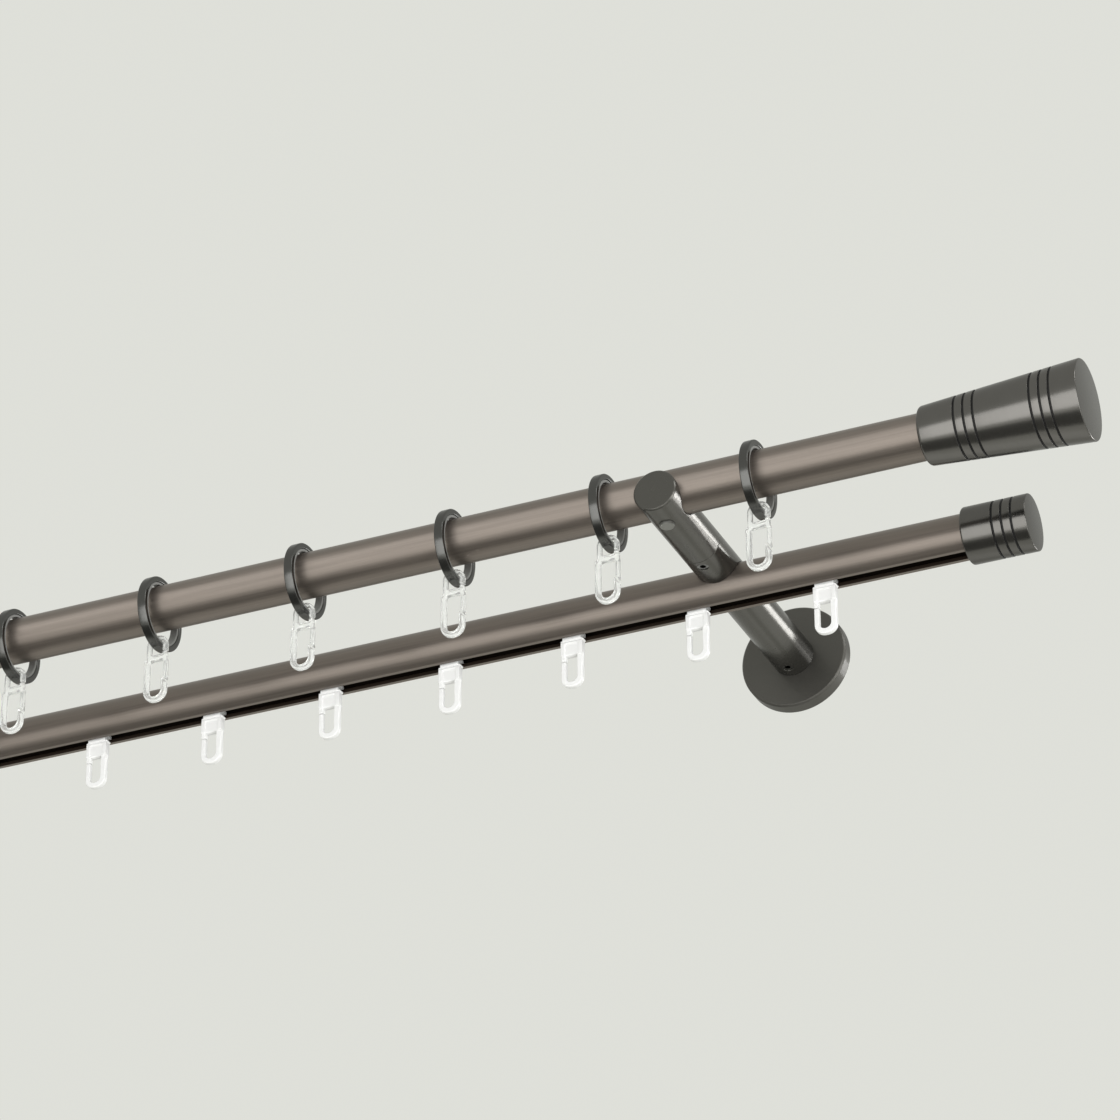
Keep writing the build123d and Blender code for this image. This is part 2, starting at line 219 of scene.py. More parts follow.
def seen_directly(pen):
    """One for rays from the camera, from a mirror or through clear plastic, and nought else."""
    return (
        pen.node("LightPath", output="Is Camera Ray")
        | pen.node("LightPath", output="Is Glossy Ray")
        | pen.node("LightPath", output="Is Transmission Ray")
    )


world = bpy.data.worlds.new("studio")
world.use_nodes = True
world.node_tree.nodes.clear()
scene.world = world
sky = Value(world.node_tree)
seen = seen_directly(sky)
glow = sky.node(
    "Background",
    inputs={"Color": (*BACKDROP, 1.0), "Strength": SOFT_SHARE + (1 - SOFT_SHARE) * seen},
)
sky.node("OutputWorld", inputs={"Surface": glow})
print("backdrop:", BACKDROP, "soft share:", SOFT_SHARE)

# %% [markdown]
# ## The lamps
#
# Metal shows what stands round it, so each lamp is placed for the line that it draws. A wide
# softbox in front, a little low, draws the light band along both tubes and the turned ends. A strip
# higher up lifts the front tube's band. A narrow strip behind, on the right, draws the sharp stripe
# on the bracket's arm, and a weak glow beside it fades the stripe out. A second strip draws the
# stripe on the bracket's head. A low fill behind lights the undersides. A softbox on the right
# whitens the sides of the plastic and catches the rims of the end faces, and a small lamp above it
# does the same from higher up. Lamps could be left out and the world painted instead, but then a
# line could not be moved on its own.

# %% Lamps
AIM = Vector((0.15, -0.1, -0.02))


def softbox(name, place, size, radiance):
    """A rectangular lamp that faces the rod. Its power is radiance times pi times its area."""
    lamp = bpy.data.lights.new(name, "AREA")
    lamp.shape = "RECTANGLE"
    lamp.size, lamp.size_y = size
    lamp.energy = radiance * math.pi * size[0] * size[1]
    holder = bpy.data.objects.new(name, lamp)
    holder.visible_camera = False
    holder.location = place
    holder.rotation_euler = (AIM - Vector(place)).to_track_quat("-Z", "Y").to_euler()
    scene.collection.objects.link(holder)
    print(name, "power:", round(lamp.energy, 1), "W")
    return holder


softbox("front_softbox", (0.2, -2.9, -0.98), (3.6, 2.45), 2.25)
side_strip = softbox("side_strip", (1.93, 2.34, 0.37), (0.5, 0.9), 11.0)
head_strip = softbox("head_strip", (2.07, 2.27, 0.04), (0.6, 0.88), 6.0)
softbox("back_glow", (1.4, 2.0, -0.9), (1.1, 1.3), 0.40)
softbox("low_back_fill", (-0.7, 1.2, -1.8), (2.6, 1.2), 0.25)
softbox("right_fill", (2.3, -0.55, 1.55), (0.8, 0.8), 5.0)
softbox("right_softbox", (2.57, -1.0, -0.33), (2.4, 1.2), 3.2)
tube_strip = softbox("tube_strip", (-1.2, -2.6, 1.2), (3.0, 1.6), 2.0)

# %% [markdown]
# In a studio, grids and flags keep a lamp's light to one piece, or keep a piece out of its way.
# Blender's light linking does the same with two lists: what a lamp lights, and what casts its
# shadow. The tube's strip lights the front tube alone. The arm's strip is shaded by the track
# alone. The track keeps it off the bracket's head, so the head's strip lights the heads alone, and
# its stripe ends at the seam to the arm. Flags could be built as sheets, but they would show in
# the metal.

# %% Aims of three lamps
HEADS = ["right_head", "left_head"]


def limit(lamp, role, names):
    """Limit a lamp to the named nodes: as its receivers, or as its blockers."""
    group = bpy.data.collections.new(f"{lamp.name}_{role}s")
    for name in names:
        group.objects.link(nodes[name])
    setattr(lamp.light_linking, f"{role}_collection", group)
    print(lamp.name, role, names)


limit(tube_strip, "receiver", ["front_rod"])
limit(tube_strip, "blocker", ["front_rod"])
limit(head_strip, "receiver", HEADS)
limit(head_strip, "blocker", HEADS)
limit(side_strip, "blocker", ["rear_track"])

# %% [markdown]
# ## The floor
#
# The floor is pale paper, far below, because the camera looks up and has to stay above it. It is
# made as light as the backdrop for the camera, for mirrors and for clear plastic, and it still
# takes a shadow. From below it is clear, so that it never hides the rod. It could be left out, but
# then a view from above would show the rod over nothing.

# %% Floor
FLOOR_DEPTH = 2.3
FLOOR_REACH = 30.0
FLOOR_TONE = (0.80, 0.80, 0.76)
FLOOR_GLOW = 0.45
PAPER_GRAIN, PAPER_SHADE = 40.0, 0.97
PAPER_ROUGH = 0.9


def flat_sheet(name, x_ends, y_ends, height, material):
    """A level sheet between two ends each way, marked as part of the stage."""
    across, along = np.meshgrid(x_ends, y_ends)
    corners = np.stack([across, along, np.full_like(across, height)], axis=-1).reshape(-1, 3)
    mesh = bpy.data.meshes.new(name)
    mesh.from_pydata(corners.tolist(), [], [(0, 1, 3, 2)])
    mesh.materials.append(material)
    sheet = bpy.data.objects.new(name, mesh)
    scene.collection.objects.link(sheet)
    return sheet


def floor_paper():
    """Pale paper that is as light as the backdrop, and clear where it is seen from below."""
    material, pen, place = start_finish("floor_paper")
    grain = noise(pen, place, PAPER_GRAIN)
    paper = pen.node(
        "BsdfPrincipled",
        inputs={
            "Base Color": grain.mix(FLOOR_TONE, shaded(FLOOR_TONE, PAPER_SHADE)),
            "Roughness": PAPER_ROUGH,
            "Emission Color": seen_directly(pen).mix((0, 0, 0), BACKDROP),
            "Emission Strength": FLOOR_GLOW,
        },
    )
    below = pen.node("NewGeometry", output="Backfacing")
    clear = pen.node("BsdfTransparent")
    sheet = pen.node("MixShader", inputs={0: below, 1: paper, 2: clear})
    pen.node("OutputMaterial", inputs={"Surface": sheet})
    return material


floor_ends = (-FLOOR_REACH, FLOOR_REACH)
flat_sheet("floor", floor_ends, floor_ends, -FLOOR_DEPTH, floor_paper())
print("floor depth:", FLOOR_DEPTH)

# %% [markdown]
# ## The flag
#
# Under the front of the rod lies a sheet of grey cloth that only mirrors see. Such a flag draws the
# dark band along a bright tube. The band could be painted on the tube, but then it would not move
# as the view does.

# %% Dark flag
FLAG_TONE = (0.30, 0.30, 0.285)
FLAG_WEAVE, FLAG_SHADE = 300.0, 0.9
FLAG_ACROSS, FLAG_ALONG, FLAG_DEPTH = (-2.6, 1.6), (-1.12, -0.03), 1.25


def flag_cloth():
    """Grey cloth."""
    material, pen, place = start_finish("flag_cloth")
    weave = noise(pen, place, FLAG_WEAVE)
    tone = weave.mix(FLAG_TONE, shaded(FLAG_TONE, FLAG_SHADE))
    return end_finish(material, pen, Base_Color=tone, Roughness=1.0)


flag = flat_sheet("dark_flag", FLAG_ACROSS, FLAG_ALONG, -FLAG_DEPTH, flag_cloth())
for ray in ("camera", "shadow", "diffuse", "transmission"):
    setattr(flag, f"visible_{ray}", False)
print("flag depth:", FLAG_DEPTH)

# %% [markdown]
# ## The tubes' lacquer
#
# Both tubes wear a satin lacquer of brownish grey with metal flake in it. Seen close, a drawn tube
# shows faint lines along its length, so the noise is stretched along X. It changes the gloss a
# little and the tone very little. The track's channel is painted near black inside: painted shade,
# for the shade that falls in there. It could have a finish of its own on picked faces, but the
# track keeps its mesh, so a mask on the distance from the tube's axis finds the channel.

# %% Tube lacquer
LACQUER_LIGHT = (0.198, 0.170, 0.149)
LACQUER_DARK = (0.140, 0.121, 0.106)
LACQUER_METAL = 0.85
LACQUER_ROUGH, DRAWN_ROUGH = 0.34, 0.12
DRAWN_SCALE, DRAWN_DETAIL = (22.0, 1300.0, 1300.0), 4.0
DRAWN_RELIEF, DRAWN_DEPTH = 0.06, 0.2 * MM
FLAKE_SCALE, FLAKE_DETAIL = 7000.0, 1.0
DRAWN_SHARE, FLAKE_SHARE, TONE_SHIFT = 1.3, 0.5, 0.4
# Near-black painted shade for the inside of the track's channel and the walls of its slot.
CHANNEL_PAINTED_SHADE = (0.050, 0.036, 0.027)
CHANNEL_ROUGH = 0.4
CHANNEL_RADIUS = 8.75 * MM
SLOT_HALF_WIDTH = 3.02 * MM


def channel_mask(pen, place):
    """One inside the track's channel and on the walls of its slot, and nought elsewhere.

    Inside is nearer to the axis than the channel's radius, or below the axis and nearer to its
    middle plane than the slot's half width.
    """
    low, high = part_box("rear_track")
    axis_y = (low.y + high.y) / 2
    axis_z = high.z - (high.y - low.y) / 2
    off_axis = pen.node(
        "VectorMath",
        {"operation": "SUBTRACT"},
        {0: place, 1: (0.0, axis_y, axis_z)},
    )
    across = pen.node("VectorMath", {"operation": "MULTIPLY"}, {0: off_axis, 1: (0, 1, 1)})
    distance = pen.node("VectorMath", {"operation": "LENGTH"}, {0: across}, output="Value")
    sideways = pen.node("SeparateXYZ", inputs={0: off_axis}, output="Y")
    in_slot = pen.node("Math", {"operation": "COMPARE"}, {0: sideways, 1: 0.0, 2: SLOT_HALF_WIDTH})
    under = pen.node("SeparateXYZ", inputs={0: off_axis}, output="Z") < 0.0
    return (distance < CHANNEL_RADIUS) | in_slot * under


def tube_lacquer(name, with_channel):
    """Satin metallic lacquer with faint drawn lines, and painted shade in the channel where there
    is one.
    """
    material, pen, place = start_finish(name)
    drawn = pen.node("Mapping", inputs={"Vector": place, "Scale": DRAWN_SCALE})
    lines = noise(pen, drawn, 1.0, DRAWN_DETAIL)
    flake = noise(pen, place, FLAKE_SCALE, FLAKE_DETAIL)
    blotch = DRAWN_SHARE * lines + FLAKE_SHARE * flake - TONE_SHIFT
    tone = blotch.mix(LACQUER_DARK, LACQUER_LIGHT)
    metal = LACQUER_METAL
    roughness = LACQUER_ROUGH + DRAWN_ROUGH * lines
    if with_channel:
        inside = channel_mask(pen, place)
        # Inside the channel the colour is painted shade.
        tone = inside.mix(tone, CHANNEL_PAINTED_SHADE)
        metal = LACQUER_METAL + (1 - LACQUER_METAL) * inside
        roughness = roughness + CHANNEL_ROUGH * inside
    relief = pen.node(
        "Bump", inputs={"Strength": DRAWN_RELIEF, "Distance": DRAWN_DEPTH, "Height": lines}
    )
    return end_finish(
        material, pen, Base_Color=tone, Metallic=metal, Roughness=roughness, Normal=relief
    )


rod_finish = tube_lacquer("rod_lacquer", False)
track_finish = tube_lacquer("track_lacquer", True)
print("tube finishes:", rod_finish.name, track_finish.name)

# %% [markdown]
# ## Turned metal
#
# Finials and end caps were turned on a lathe and stained to gunmetal, and the rings are stained in
# the same way. The tool leaves fine lines round the axis. A shader's anisotropy could stand for
# them, but it shows no line up close. A noise along X alone makes the lines themselves: it tips the
# surface a little along the axis, which draws a highlight out as on the real piece.

# %% Turned metal
GUNMETAL, GUNMETAL_DARK = (0.144, 0.139, 0.132), (0.110, 0.106, 0.100)
# The caps' copy of the gunmetal is darker: painted shade, for the front tube's shade over them.
CAP_SHADED_METAL, CAP_SHADED_DARK = (0.122, 0.118, 0.111), (0.094, 0.091, 0.086)
RING_METAL, RING_METAL_DARK = (0.106, 0.105, 0.102), (0.080, 0.080, 0.077)
TURNED_ROUGH, RING_ROUGH, TOOL_ROUGH = 0.17, 0.16, 0.10
EDGE_TINT = (0.75, 0.75, 0.75, 1.0)
TOOL_LINES_PER_METRE, TOOL_DETAIL = 5200.0, 3.0
TOOL_RELIEF, TOOL_DEPTH = 0.14, 0.1 * MM
STAIN_SCALE, STAIN_DETAIL = 160.0, 3.0
TOOL_SHARE, STAIN_SHARE = 0.6, 0.4


def turned_metal(name, light, dark, rough):
    """Stained metal with tool lines round the X axis."""
    material, pen, place = start_finish(name)
    along = pen.node("SeparateXYZ", inputs={0: place}, output="X")
    tool = pen.node(
        "TexNoise",
        {"noise_dimensions": "1D"},
        {"W": along * TOOL_LINES_PER_METRE, "Scale": 1.0, "Detail": TOOL_DETAIL},
    )
    stain = noise(pen, place, STAIN_SCALE, STAIN_DETAIL)
    relief = pen.node(
        "Bump", inputs={"Strength": TOOL_RELIEF, "Distance": TOOL_DEPTH, "Height": tool}
    )
    return end_finish(
        material,
        pen,
        Base_Color=(TOOL_SHARE * tool + STAIN_SHARE * stain).mix(dark, light),
        Metallic=1.0,
        Roughness=rough + TOOL_ROUGH * tool,
        Specular_Tint=EDGE_TINT,
        Normal=relief,
    )


turned_finish = turned_metal("turned_gunmetal", GUNMETAL, GUNMETAL_DARK, TURNED_ROUGH)
# The caps take the darker, shaded copy: painted shade.
cap_shaded_finish = turned_metal("cap_shaded_gunmetal", CAP_SHADED_METAL, CAP_SHADED_DARK, TURNED_ROUGH)
ring_finish = turned_metal("ring_gunmetal", RING_METAL, RING_METAL_DARK, RING_ROUGH)
print("turned finishes:", turned_finish.name, cap_shaded_finish.name, ring_finish.name)

# %% [markdown]
# The grooves that the tool cut are painted near black: painted shade. Depth alone would darken them
# a little, but not enough at this width, so they get a dark finish of their own.

# %% Painted shade of the grooves
GROOVE_DARK, GROOVE_LIGHT = (0.008, 0.008, 0.008), (0.018, 0.017, 0.016)
GROOVE_MOTTLE_SCALE = 900.0


def groove_painted_shade():
    """Painted shade in the bottom of a cut groove, near black and a little mottled."""
    material, pen, place = start_finish("groove_painted_shade")
    # The near-black tone is painted shade in the grooves.
    tone = noise(pen, place, GROOVE_MOTTLE_SCALE).mix(GROOVE_DARK, GROOVE_LIGHT)
    return end_finish(material, pen, Base_Color=tone, Metallic=0.4, Roughness=0.6)


groove_shade_material = groove_painted_shade()
print("groove finish:", groove_shade_material.name)

# %% [markdown]
# ## The bracket's lacquer
#
# The brackets are sprayed with a dark graphite lacquer that is glossier than the tubes. A coat
# over the base keeps the sharp stripe that the lamp draws. Sprayed paint is never quite level, so
# a weak, broad noise tips its surface. Paint also runs soft over an edge. A Bevel modifier could
# do that, but these pieces keep their meshes, so the Bevel node does it in the finish.

# %% Bracket lacquer
GRAPHITE = (0.095, 0.092, 0.084)
SPECK_SCALE, SPECK_DETAIL, SPECK_SHADES = 5200.0, 1.0, (0.86, 1.14)
PEEL_SCALE, PEEL_ROUGH = 420.0, 0.08
PEEL_RELIEF, PEEL_DEPTH = 0.04, 0.4 * MM
EDGE_BUILD, EDGE_SAMPLES = 0.5 * MM, 6
ARM_ROUGH, ROSE_ROUGH = 0.22, 0.42


def bracket_lacquer(name, rough):
    """Dark spray lacquer with the slight unevenness of spray, run soft over every edge."""
    material, pen, place = start_finish(name)
    peel = noise(pen, place, PEEL_SCALE)
    speck = noise(pen, place, SPECK_SCALE, SPECK_DETAIL)
    soft_edge = pen.node("Bevel", {"samples": EDGE_SAMPLES}, {"Radius": EDGE_BUILD})
    relief = pen.node(
        "Bump",
        inputs={
            "Strength": PEEL_RELIEF,
            "Distance": PEEL_DEPTH,
            "Height": peel,
            "Normal": soft_edge,
        },
    )
    return end_finish(
        material,
        pen,
        Base_Color=speck.mix(*(shaded(GRAPHITE, share) for share in SPECK_SHADES)),
        Metallic=0.85,
        Roughness=rough + PEEL_ROUGH * peel,
        Specular_Tint=EDGE_TINT,
        Coat_Weight=0.12,
        Coat_Roughness=0.10,
        Normal=relief,
    )


bracket_finish = bracket_lacquer("bracket_lacquer", ARM_ROUGH)
rose_finish = bracket_lacquer("rose_lacquer", ROSE_ROUGH)
print("bracket finishes:", bracket_finish.name, rose_finish.name)

# %% [markdown]
# ## The screws
#
# Small screws are plain steel, dark in the arms and zinc grey under the heads. One flat tone would
# do from afar, but a fine blotch in tone and gloss keeps them metal in a close view.

# %% Screws
GRUB_DARK, GRUB_LIGHT, GRUB_ROUGH = (0.11, 0.11, 0.105), (0.20, 0.20, 0.19), 0.14
CLAMP_DARK, CLAMP_LIGHT, CLAMP_ROUGH = (0.18, 0.18, 0.17), (0.26, 0.26, 0.245), 0.40
BLOTCH_SCALE, BLOTCH_DETAIL, BLOTCH_ROUGH = 1300.0, 3.0, 0.15


def screw_metal(name, dark, light, rough):
    """Plain screw steel, a little blotched."""
    material, pen, place = start_finish(name)
    blotch = noise(pen, place, BLOTCH_SCALE, BLOTCH_DETAIL)
    return end_finish(
        material,
        pen,
        Base_Color=blotch.mix(dark, light),
        Metallic=1.0,
        Roughness=rough + BLOTCH_ROUGH * blotch,
    )


grub_finish = screw_metal("grub_steel", GRUB_DARK, GRUB_LIGHT, GRUB_ROUGH)
clamp_finish = screw_metal("clamp_zinc", CLAMP_DARK, CLAMP_LIGHT, CLAMP_ROUGH)
print("screw finishes:", grub_finish.name, clamp_finish.name)

# %% [markdown]
# ## The plastics
#
# The ring's liner is a grey plastic band, and the glider is white satin plastic. The hook is clear:
# light goes through it and bends, so its edges draw bright and dark lines. It could be plain glass,
# but cheap clear plastic is a little milky, so a quarter of its light is scattered.

# %% Plastics
LINER_DARK, LINER_LIGHT = (0.17, 0.17, 0.165), (0.22, 0.22, 0.21)
LINER_GRAIN, LINER_ROUGH, LINER_GRAIN_ROUGH = 2600.0, 0.38, 0.1
HOOK_TONE, HOOK_TONE_LIGHT = (0.97, 0.98, 0.975), (0.99, 0.995, 0.99)
HOOK_FLOW, HOOK_ROUGH, HOOK_FLOW_ROUGH = 350.0, 0.10, 0.06
HOOK_RELIEF, HOOK_RELIEF_DEPTH = 0.05, 0.3 * MM
GLIDER_TONE, GLIDER_TONE_LIGHT = (0.90, 0.905, 0.91), (0.935, 0.935, 0.935)
GLIDER_FLOW, GLIDER_ROUGH, GLIDER_FLOW_ROUGH = 420.0, 0.30, 0.12


def liner_plastic():
    """Satin grey plastic with a fine moulded grain."""
    material, pen, place = start_finish("liner_plastic")
    grain = noise(pen, place, LINER_GRAIN)
    tone = grain.mix(LINER_DARK, LINER_LIGHT)
    roughness = LINER_ROUGH + LINER_GRAIN_ROUGH * grain
    return end_finish(material, pen, Base_Color=tone, Roughness=roughness)


def clear_plastic():
    """Clear moulded plastic with faint flow marks in its gloss."""
    material, pen, place = start_finish("hook_clear")
    flow = noise(pen, place, HOOK_FLOW)
    relief = pen.node(
        "Bump", inputs={"Strength": HOOK_RELIEF, "Distance": HOOK_RELIEF_DEPTH, "Height": flow}
    )
    return end_finish(
        material,
        pen,
        Base_Color=flow.mix(HOOK_TONE, HOOK_TONE_LIGHT),
        Roughness=HOOK_ROUGH + HOOK_FLOW_ROUGH * flow,
        IOR=1.38,
        Transmission_Weight=0.75,
        Normal=relief,
    )


def white_plastic():
    """White satin plastic with faint flow marks."""
    material, pen, place = start_finish("glider_white")
    flow = noise(pen, place, GLIDER_FLOW)
    tone = flow.mix(GLIDER_TONE, GLIDER_TONE_LIGHT)
    roughness = GLIDER_ROUGH + GLIDER_FLOW_ROUGH * flow
    return end_finish(material, pen, Base_Color=tone, Roughness=roughness)


liner_finish = liner_plastic()
hook_finish = clear_plastic()
glider_finish = white_plastic()
print("plastics:", liner_finish.name, hook_finish.name, glider_finish.name)

# %% [markdown]
# ## Soft corners from a short list
#
# Turned and moulded pieces have few corners, each with a small radius. A corner is written as its
# sharp point and its radius, and one function turns the whole list into a smooth line. A Bevel
# modifier could round them too, but with one radius for all. The function works on all the corners
# at once, as arrays.

# %% Rounded outline
ARC_STEPS = 7


def rounded(corners, closed=True):
    """Points of an outline whose corners (x, y, radius) are arcs that touch both sides.

    The arc's centre lies on the bisector, at radius over the sine of half the corner's angle,
    and it touches each side at radius over the tangent of that half angle. The points run from
    the one touch to the other, turning about the centre at an even rate.
    """
    table = np.array(corners, float)
    point, radius = table[:, :2], table[:, 2]
    back = np.roll(point, 1, axis=0) - point
    ahead = np.roll(point, -1, axis=0) - point
    back /= np.linalg.norm(back, axis=1)[:, None]
    ahead /= np.linalg.norm(ahead, axis=1)[:, None]
    half = np.arccos(np.clip((back * ahead).sum(1), -1, 1)) / 2
    touch = radius / np.tan(half)
    middle = back + ahead
    middle /= np.linalg.norm(middle, axis=1)[:, None]
    centre = point + middle * (radius / np.sin(half))[:, None]
    start = point + back * touch[:, None] - centre
    turn = np.pi - 2 * half
    side = np.sign(ahead[:, 0] * back[:, 1] - ahead[:, 1] * back[:, 0])
    angle = (side * turn)[:, None] * np.linspace(0, 1, ARC_STEPS)[None, :]
    cos, sin = np.cos(angle), np.sin(angle)
    arc_x = start[:, :1] * cos - start[:, 1:] * sin
    arc_y = start[:, :1] * sin + start[:, 1:] * cos
    arcs = centre[:, None, :] + np.stack([arc_x, arc_y], axis=-1)
    if not closed:
        arcs[0] = point[0]
        arcs[-1] = point[-1]
    return arcs.reshape(-1, 2)


print("arc steps per corner:", ARC_STEPS)

# %% [markdown]
# ## From arrays to a mesh
#
# A surface here is a grid of points. Rows follow the profile and columns follow the turn, and each
# cell of the grid is one quad. The quads could be added one by one, but their numbers follow from
# the grid, so they are worked out at once. The grid is sewn at its seam, points that fall together
# on an axis are merged, and the faces are turned to point outwards.

# %% Mesh helpers
WELD = 0.0001 * MM


def grid_faces(rows, columns, sew_rows, sew_columns):
    """Quads of a grid of points, with either direction sewn round to its start.

    The point in row r and column c has the number r times the columns, plus c.
    """
    row = np.arange(rows if sew_rows else rows - 1)
    column = np.arange(columns if sew_columns else columns - 1)
    r, c = np.meshgrid(row, column, indexing="ij")
    r_next, c_next = (r + 1) % rows, (c + 1) % columns
    line, line_next = r * columns, r_next * columns
    quads = [line + c, line + c_next, line_next + c_next, line_next + c]
    return np.stack(quads, axis=-1).reshape(-1, 4)


def clean(mesh):
    """Merge the points of a mesh that fall together, and turn its faces outwards."""
    work = bmesh.new()
    work.from_mesh(mesh)
    bmesh.ops.remove_doubles(work, verts=work.verts, dist=WELD)
    bmesh.ops.recalc_face_normals(work, faces=work.faces)
    work.to_mesh(mesh)
    work.free()


def finish_piece(name, mesh, materials, node):
    """Clean a new mesh, give it its finishes, and let it stand for a node on the node's body."""
    clean(mesh)
    for material in materials:
        mesh.materials.append(material)
    piece = bpy.data.objects.new(name, mesh)
    scene.collection.objects.link(piece)
    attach(piece, nodes[node]["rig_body"])
    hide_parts(node)
    return piece


def centre_of(node):
    """The middle of a node's box."""
    low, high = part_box(node)
    return np.array((low + high) / 2)


print("points merge within:", WELD, "m")

# %% [markdown]
# ## Turned pieces
#
# Finials, end caps, rings and liners are all round about a line along X. Their shape is a profile,
# distance along the line against distance from it, carried once round. Blender's Screw modifier
# does that as well, but with arrays each row of faces is known, so that the rows in a groove can
# take another finish.

# %% Surface of revolution
TURN_STEPS = 144


def revolved(name, profile, centre, side, closed):
    """A profile of (along, radius) carried round an axis along X through the centre.

    The point at turn t is (side times along, radius times cos t, radius times sin t), from the
    centre. A side of minus one mirrors the piece.
    """
    turn = np.linspace(0, 2 * np.pi, TURN_STEPS, endpoint=False)
    along = np.repeat(profile[:, :1], TURN_STEPS, axis=1)
    across = profile[:, 1:] * np.cos(turn)
    up = profile[:, 1:] * np.sin(turn)
    grid = np.stack([side * along, across, up], axis=-1) + centre
    mesh = bpy.data.meshes.new(name)
    faces = grid_faces(len(profile), TURN_STEPS, closed, True)
    mesh.from_pydata(grid.reshape(-1, 3).tolist(), [], faces.tolist())
    mesh.shade_smooth()
    return mesh


print("steps round a turn:", TURN_STEPS)

# %% [markdown]
# ## Finials and end caps
#
# A groove is a narrow square cut with its lips broken. The profile list for a turned end starts at
# the middle of its outer face, runs down the outside towards the tube, dipping into each groove,
# and turns into the socket. Faces whose whole row lies below the surface take the painted shade.

# %% A turned end
GROOVE_WIDTH = 1.0 * MM
GROOVE_DEPTH = 0.8 * MM
GROOVE_PITCH = 4.2 * MM
GROOVES = 3
LIP_RADIUS = 0.12 * MM
FLOOR_RADIUS = 0.10 * MM
SUNK_SHARE = 0.2
HAIR = 0.001 * MM


def turned_end(name, node, side, small, large, edges, socket, grooves, finish):
    """A cone or cylinder with rounded rims, a socket for its tube and grooves in painted shade.

    The skin's radius is small at the tube and grows evenly to large at the outer face.
    """
    low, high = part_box(node)
    length = high.x - low.x
    start = np.array([low.x if side > 0 else high.x, (low.y + high.y) / 2, (low.z + high.z) / 2])
    small_edge, large_edge = edges
    socket_radius, socket_depth = socket

    def skin(place):
        return small + (large - small) * place / length

    corners = [(length, 0, 0), (length, large, large_edge)]
    for place in sorted(grooves, reverse=True):
        outer, inner = place + GROOVE_WIDTH / 2, place - GROOVE_WIDTH / 2
        floor = skin(place) - GROOVE_DEPTH
        corners += [
            (outer, skin(outer), LIP_RADIUS),
            (outer, floor, FLOOR_RADIUS),
            (inner, floor, FLOOR_RADIUS),
            (inner, skin(inner), LIP_RADIUS),
        ]
    corners += [
        (0, small, small_edge),
        (0, socket_radius, LIP_RADIUS),
        (socket_depth, socket_radius, FLOOR_RADIUS),
        (socket_depth, 0, 0),
    ]
    profile = rounded(corners, closed=False)
    mesh = revolved(name, profile, start, side, False)
    middle = (profile[:-1] + profile[1:]) / 2
    from_groove = np.abs(middle[:, :1] - np.array(grooves)[None, :]).min(1)
    in_groove = from_groove < GROOVE_WIDTH / 2 + HAIR
    sunk = in_groove & (middle[:, 1] < skin(middle[:, 0]) - SUNK_SHARE * GROOVE_DEPTH)
    outside = middle[:, 1] > socket_radius + HAIR
    index = np.repeat((sunk & outside).astype(np.int32), TURN_STEPS)
    mesh.polygons.foreach_set("material_index", index)
    return finish_piece(name, mesh, [finish, groove_shade_material], node)


print("grooves in a set:", GROOVES, "width:", GROOVE_WIDTH)

# %% [markdown]
# A finial is a cone with two sets of grooves, and a cap is a cylinder with one set. Both come from
# the same function with other sizes. The left ones are mirrored, as the rod's two ends are.

# %% Finials and end caps
FINIAL_SMALL, FINIAL_LARGE = 12.5 * MM, 17.35 * MM
FINIAL_EDGES = (1.6 * MM, 0.6 * MM)
FINIAL_SOCKET = (10.1 * MM, 20.4 * MM)
FINIAL_INNER_GROOVE, FINIAL_OUTER_GROOVE = 16.6 * MM, 58.0 * MM
CAP_RADIUS = 12.4 * MM
CAP_EDGES = (0.9 * MM, 0.5 * MM)
CAP_SOCKET = (10.1 * MM, 18.0 * MM)
CAP_OUTER_GROOVE = 22.5 * MM
groove_steps = np.arange(GROOVES) * GROOVE_PITCH
finial_grooves = [*(FINIAL_INNER_GROOVE + groove_steps), *(FINIAL_OUTER_GROOVE - groove_steps)]
cap_grooves = list(CAP_OUTER_GROOVE - groove_steps)
for word, side in (("right", 1), ("left", -1)):
    turned_end(
        f"{word}_finial_turned", f"{word}_finial", side,
        FINIAL_SMALL, FINIAL_LARGE, FINIAL_EDGES, FINIAL_SOCKET, finial_grooves, turned_finish,
    )
    turned_end(
        f"{word}_end_cap_turned", f"{word}_end_cap", side,
        CAP_RADIUS, CAP_RADIUS, CAP_EDGES, CAP_SOCKET, cap_grooves, cap_shaded_finish,
    )
print("turned ends: 4, grooves on a finial:", len(finial_grooves))

# %% [markdown]
# ## Rings and liners
#
# A ring is a flat metal hoop, and its liner a plastic band just inside. A torus would be too round
# for them. Both are closed profiles, a rectangle with soft corners, carried round the same axis.

# %% Rings
RING_OUTER, RING_INNER = 16.85 * MM, 14.40 * MM
LINER_OUTER, LINER_INNER = 14.35 * MM, 13.10 * MM
RING_EDGE, LINER_EDGE = 0.45 * MM, 0.30 * MM


def hoop(name, node, inner, outer, edge, material):
    """A hoop: a rectangle of its width and thickness, with soft corners, carried round."""
    low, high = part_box(node)
    half = (high.x - low.x) / 2
    profile = rounded([
        (-half, inner, edge), (half, inner, edge), (half, outer, edge), (-half, outer, edge),
    ])
    mesh = revolved(name, profile, centre_of(node), 1, True)
    return finish_piece(name, mesh, [material], node)


ring_numbers = sorted(name[-2:] for name in nodes if name.startswith("ring_liner_"))
for number in ring_numbers:
    hoop(
        f"ring_{number}_hoop", f"ring_{number}",
        RING_INNER, RING_OUTER, RING_EDGE, ring_finish,
    )
    hoop(
        f"ring_{number}_band", f"ring_liner_{number}",
        LINER_INNER, LINER_OUTER, LINER_EDGE, liner_finish,
    )
print("rings:", len(ring_numbers))

